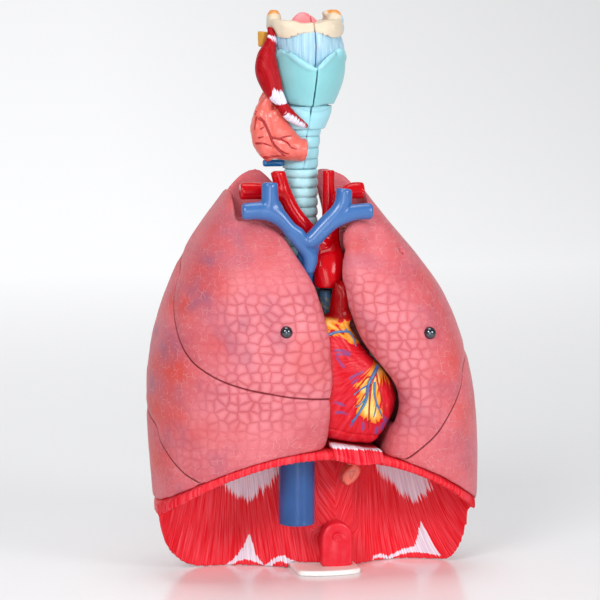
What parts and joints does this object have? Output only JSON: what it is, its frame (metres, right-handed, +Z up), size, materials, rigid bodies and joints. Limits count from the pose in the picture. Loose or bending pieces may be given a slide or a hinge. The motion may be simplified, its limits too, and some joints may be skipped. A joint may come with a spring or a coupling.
{
  "type": "anatomical model",
  "caption": "Life-size teaching model of larynx, windpipe, heart and two lungs on an arched diaphragm stand; lung fronts, heart and larynx halves lift off",
  "frame": {"origin": "on the table, under the foot plate, near the middle of the base", "axes": "+Z up, the front of the chest faces -Y, the anatomical right side is at -X"},
  "size_m": [0.2414, 0.1231, 0.4045],
  "materials": {
    "lung_pink": "satin",
    "muscle_red": "satin",
    "artery_red": "gloss",
    "vein_blue": "gloss",
    "cartilage_blue": "satin",
    "membrane_blue": "satin",
    "bone_cream": "satin",
    "gland_coral": "satin",
    "heart_red": "gloss",
    "salmon": "satin",
    "fat_yellow": "satin",
    "azure": "gloss",
    "white_plastic": "matte",
    "stud_metal": "polished"
  },
  "bodies": {
    "stand": {"diaphragm": "muscle_red", "foot_plate": "white_plastic", "spine_boss": "muscle_red", "boss_screw": "stud_metal", "heart_seat": "muscle_red", "mediastinum": "muscle_red", "trachea": "cartilage_blue", "oesophagus": "salmon", "arteries": "artery_red", "brachiocephalic_veins": "vein_blue", "inferior_vena_cava": "vein_blue", "right_lung_back": "lung_pink", "right_bronchi": "cartilage_blue", "left_lung_back": "lung_pink", "left_bronchi": "cartilage_blue"},
    "right_lung_cover": {"right_lung_front": "lung_pink", "right_lung_stud": "stud_metal"},
    "left_lung_cover": {"left_lung_front": "lung_pink", "left_lung_stud": "stud_metal"},
    "heart": {"heart_back": "heart_red"},
    "heart_cover": {"heart_front": "heart_red"},
    "larynx_left_half": {"left_larynx_wall": "membrane_blue", "left_cricoid": "cartilage_blue", "left_thyroid_cartilage": "cartilage_blue", "left_hyoid": "bone_cream", "left_epiglottis": "gland_coral"},
    "larynx_right_half": {"right_larynx_wall": "membrane_blue", "right_cricoid": "cartilage_blue", "right_thyroid_cartilage": "cartilage_blue", "right_hyoid": "bone_cream", "right_epiglottis": "gland_coral", "larynx_muscle": "muscle_red", "cricothyroid_muscle": "muscle_red", "thyroid_gland": "gland_coral", "larynx_fat": "fat_yellow", "gland_vein": "azure"}
  },
  "joints": [
    {"name": "right_lung_off", "type": "slide", "parent": "stand", "child": "right_lung_cover", "axis": [0, -1, 0], "range_m": [0, 0.15]},
    {"name": "left_lung_off", "type": "slide", "parent": "stand", "child": "left_lung_cover", "axis": [0, -1, 0], "range_m": [0, 0.15]},
    {"name": "heart_off", "type": "slide", "parent": "stand", "child": "heart", "axis": [0, -1, 0], "range_m": [0, 0.075]},
    {"name": "heart_apart", "type": "slide", "parent": "heart", "child": "heart_cover", "axis": [0, -1, 0], "range_m": [0, 0.0375]},
    {"name": "larynx_off", "type": "slide", "parent": "stand", "child": "larynx_left_half", "axis": [0, 0, 1], "range_m": [0, 0.12]},
    {"name": "larynx_apart", "type": "slide", "parent": "larynx_left_half", "child": "larynx_right_half", "axis": [0, -1, 0], "range_m": [0, 0.07]}
  ],
  "couplings": [
    {"joint": "heart_off", "follows": "right_lung_off", "ratio": 0.5},
    {"joint": "heart_apart", "follows": "right_lung_off", "ratio": 0.25}
  ]
}
